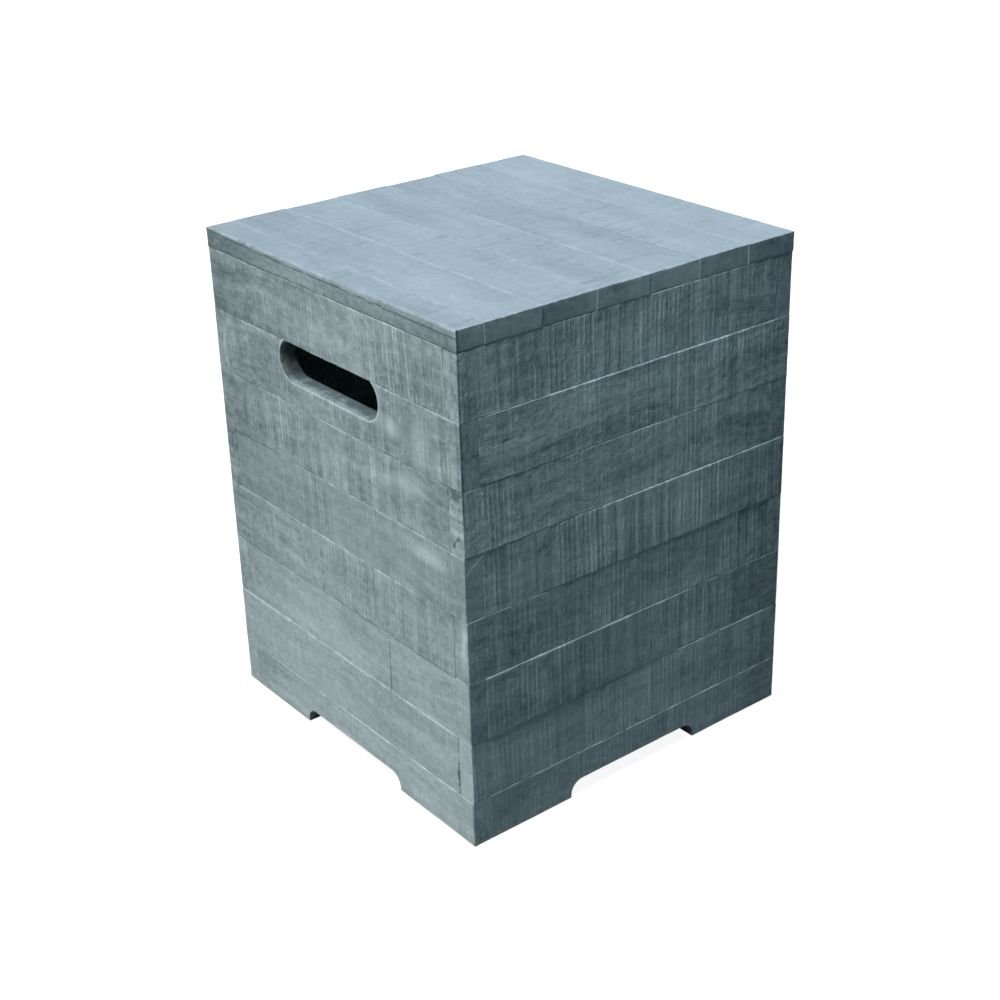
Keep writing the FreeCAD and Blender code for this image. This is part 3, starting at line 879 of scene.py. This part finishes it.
def addWallBoard(wall, course):
    node = f"{wall}_board_{course}"
    turn = turnOf(wall)
    low, high = localBox(node, turn)
    low.y = boardFinish["standBack"] - outerHalf
    number = walls.index(wall)
    side = coveringEnd(course)
    beside = walls[(number + side) % len(walls)]
    if side < 0:
        low.x += boardFinish["standBack"]
    else:
        high.x -= boardFinish["standBack"]
    draw = Random(100 * number + course)
    values = boardValues(boardShape, low, high, draw, 7.0 * number, wallMaterial)
    values["End Wear"] = draw.uniform(0.1, 1.2) * mm
    if course == courseCount:
        values["Lower Wear"] = 0.0
    mesh = fromTree(wallTree, node, values)

    # The face leans from one seam's step to the next one's, and so does the end that shows on the wall
    # beside it
    points = pointsOf(mesh)
    x, y, z = points.T
    share = np.clip((z - low.z) / (high.z - low.z), 0, 1)
    above, below = leanOf(wall, course, x)
    fade = np.clip((high.y - y) / (high.y - low.y), 0, 1)
    y = np.maximum(y - (above * share + below * (1 - share)) * fade, boardFinish["margin"] - outerHalf)
    endAbove, endBelow = leanOf(beside, course, -side * seamPlaces[-1])
    fade = np.clip((side * x - innerHalf) / (outerHalf - innerHalf), 0, 1)
    x = x + side * (endAbove * share + endBelow * (1 - share)) * fade
    limit = outerHalf - boardFinish["margin"]
    x = np.clip(x, -limit, limit)

    # A proud upper edge is worn round
    step = np.maximum(stepOf(wall, course - 1, x), 0)
    proud = boardFinish["proudRadius"] + boardFinish["proudShare"] * step
    down, deep = roundOff(high.z - z, y - low.y + above, proud)
    z, y = high.z - down, low.y - above + deep
    if course == 1:
        z = np.minimum(z, high.z)
    if course == courseCount:
        z = np.maximum(z, low.z)
    setPoints(mesh, np.stack([x, y, z], axis=1))
    plainInside(mesh, high.y)

    fromCut, opening = None, {"rimTone": 0.0}
    if course == 2 and wall in ("left", "right"):
        mesh = cutBy(mesh, cutters["hole"])
        fromCut, opening = fromHandHole, handHole
    if course == courseCount:
        mesh = cutBy(mesh, cutters["notch"])
        fromCut, opening = fromNotch, hoseNotch

    def marks(points):
        tint = tintOf(wall, course, points[:, 0])
        end = max(side * low.x, side * high.x)
        onEnd = side * points[:, 0] > end - boardFinish["endBand"]
        tint[onEnd] = tintOf(beside, course, -side * fivePlaces[-1]) + farEndTint.get((beside, course), 0.0)
        sawn = np.interp(points[:, 0], fivePlaces, sawnShares[wall][course - 1])
        cut = np.zeros((len(points), 3)) + uncut
        if fromCut:
            cut[:, 0] = fromCut(points) / opening["lip"]
            cut[:, 1] = np.clip((points[:, 1] - low.y) / (high.y - low.y), 0, 1)
            start, band = boardFinish["openingEnds"]
            cut[:, 2] = np.clip((np.abs(points[:, 0]) - start) / band, 0, 1)
        far = points[:, 0] * farSide[wall] > 0
        show = np.where(far, farEndShow, endShow[wall][course - 1])
        # painted shade in the gap along the board's lower edge
        under = 1 - np.maximum(points[:, 1] - low.y, points[:, 2] - low.z) / boardFinish["gapShadeBand"]
        return {"tint": tint, "sawn": sawn, "cut": cut, "rim": opening["rimTone"],
                "fine": boardFine[wall][course - 1], "under": under if course < courseCount else 0.0,
                "seamShow": 1.0, "endShow": show, "jointShow": show, "edgeBand": boardFinish["edgeBand"]}

    shift = values["Grain Shift"]
    finishBoard(mesh, node, "walls", turn, (low, high), shift, marks)


def addLidPlank(number):
    node = f"lid_plank_{number}"
    low, high = localBox(node, lidTurn)
    back = lidFinish["standBack"]
    low.x, high.x = low.x + back, high.x - back
    if number == 1:
        high.z -= back
    if number == plankCount:
        low.z += back
    draw = Random(700 + number)
    values = boardValues(plankShape, low, high, draw, 40.0, lidMaterial)
    mesh = fromTree(lidTree, node, values)
    limit = outerHalf - boardFinish["margin"]
    x, y, z = np.clip(pointsOf(mesh), (-limit, low.y, -limit), (limit, high.y, limit)).T
    if number == 1:
        uneven = [draw.uniform(*lidFinish["leftUneven"]) for place in raggedPlaces]
        radius = np.interp(x, threePlaces, lidFinish["leftRound"]) * np.interp(x, raggedPlaces, uneven)
        down, deep = roundOff(high.z - z, y - low.y, radius)
        z, y = high.z - down, low.y + deep
        ragged = lidFinish["tearRagged"]
        tearPlaces = sorted(draw.uniform(-0.2, 0.2) for step in range(lidFinish["tearSteps"]))
        tearDraws = [draw.uniform(-ragged, ragged) * mm for place in tearPlaces]
    upper, lower = lidFinish["lowRow"]
    lowRow = (y > high.y - upper) & (y < high.y - lower)
    y = np.where(lowRow, high.y - boardFinish["gapShadeBand"], y)     # keeps the line of painted shade at the edge thin
    setPoints(mesh, np.stack([x, y, z], axis=1))
    plainInside(mesh, high.y)

    def marks(points):
        x, y, z = points.T
        tint = np.full(len(points), plankTints[number - 1])
        turned = y > low.y + lidFinish["sideFrom"]             # not on the upper face
        band = lidFinish["sideBand"]
        ends = {"front": (x < low.x + band, -z), "back": (x > high.x - band, z)}
        if number == 1:
            ends["left"] = (z > high.z - band, -x)
        if number == plankCount:
            ends["right"] = (z < low.z + band, x)
        fine = np.ones(len(points))
        for wall, (there, place) in ends.items():
            there = there & turned
            tint[there] = (lidSideTint[wall] + np.interp(place, fivePlaces, endTint[wall]))[there]
            fine[there] = lidFinish["sideFine"]
        sawn = np.interp(x, threePlaces, lidFinish["sawnShares"])
        joint = np.where(z > (low.z + high.z) / 2, lidShow[number - 1], lidShow[number])
        # painted shade along the lower edge of the lid's sides, in the gap over the wall
        under = np.where(fine > 1, 1 - (high.y - y) / boardFinish["gapShadeBand"], 0.0)
        if number == 1:
            line = np.interp(x, threePlaces, lidFinish["tear"]) + np.interp(x, tearPlaces, tearDraws)
            below = y - low.y - line
            onSide = ends["left"][0] & turned
            tint = tint + np.where(onSide & (below < 0), lidFinish["tearTone"], 0.0)
            shade = lidFinish["tearShade"]
            away = np.abs(below - shade["below"]) / shade["band"]
            under = np.maximum(under, np.where(onSide, shade["dark"] * (1 - away), 0.0))
        least, added = lidFinish["seamShow"]
        return {"tint": tint, "sawn": sawn, "cut": np.zeros((len(points), 3)) + uncut, "rim": 0.0,
                "fine": fine, "under": under, "seamShow": least + added * joint,
                "endShow": 1.0, "jointShow": joint, "edgeBand": lidFinish["edgeBand"]}

    shift = values["Grain Shift"]
    finishBoard(mesh, node, "lid", lidTurn, (low, high), shift, marks)


for wall in walls:
    for course in range(1, courseCount + 1):
        addWallBoard(wall, course)
    print(wall, "wall ready")
for number in range(1, plankCount + 1):
    addLidPlank(number)
for cutter in cutters.values():
    bpy.data.objects.remove(cutter)
print("lid ready")


# Inner pieces, which keep their CAD shape. Their bends and lines are given as features in a metre.

plainWood = {"dark": (0.27, 0.20, 0.125, 1.0), "light": (0.50, 0.40, 0.275, 1.0), "roughness": 0.75,
             "metallic": 0.0, "height": 0.2 * mm}
innerLooks = {
    "postWood": dict(plainWood, bends=(25, 25, 5), lines=(160, 160, 5)),
    "battenWood": dict(plainWood, bends=(5, 25, 25), lines=(5, 160, 160)),
    "dowelWood": {"dark": (0.46, 0.34, 0.20, 1.0), "light": (0.66, 0.51, 0.33, 1.0), "roughness": 0.7,
                  "metallic": 0.0, "height": 0.1 * mm, "bends": (40, 40, 40), "lines": (40, 300, 300)},
    "zincScrew": {"dark": (0.42, 0.42, 0.40, 1.0), "light": (0.70, 0.69, 0.65, 1.0), "roughness": 0.42,
                  "metallic": 1.0, "height": 0.05 * mm, "bends": (80, 80, 80), "lines": (350, 350, 350)},
    "nylonGlide": {"dark": (0.035, 0.035, 0.036, 1.0), "light": (0.075, 0.075, 0.078, 1.0),
                   "roughness": 0.45, "metallic": 0.0, "height": 0.05 * mm, "bends": (60, 60, 60),
                   "lines": (400, 400, 400)},
}
lookOf = {"corner_post": "postWood", "lid_batten": "battenWood", "lid_dowels": "dowelWood",
          "wall_screws": "zincScrew", "lid_screws": "zincScrew", "foot_glide": "nylonGlide"}


def innerMaterial(name, values):
    material, tree, surface = newMaterial(name)
    place = addNode(tree, "ShaderNodeTexCoord").outputs["Object"]
    bend = noiseOf(tree, place, values["bends"], 2, seed=21)
    bent = vectorOf(tree, "ADD", place, times(tree, bend, 5 * mm))
    lines = noiseOf(tree, bent, values["lines"], 3, 0.6, seed=22)
    speck = noiseOf(tree, place, (700, 700, 700), 2, 0.6, seed=23)
    tone = summed(tree, 0.5, times(tree, centred(tree, lines), 1.8), times(tree, centred(tree, bend), 0.9),
                  times(tree, centred(tree, speck), 0.5))
    tree.links.new(mixed(tree, tone, values["dark"], values["light"]), surface.inputs["Base Color"])
    surface.inputs["Roughness"].default_value = values["roughness"]
    surface.inputs["Metallic"].default_value = values["metallic"]
    bump = addNode(tree, "ShaderNodeBump", {"Height": summed(tree, lines, times(tree, speck, 0.4)),
                                            "Distance": values["height"]})
    tree.links.new(bump.outputs[0], surface.inputs["Normal"])
    return material


innerMaterials = {name: innerMaterial(name, values) for name, values in innerLooks.items()}
for node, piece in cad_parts.items():
    for start, look in lookOf.items():
        if node.startswith(start):
            for slot in piece.material_slots:
                slot.material = innerMaterials[look]
print("inner pieces ready")
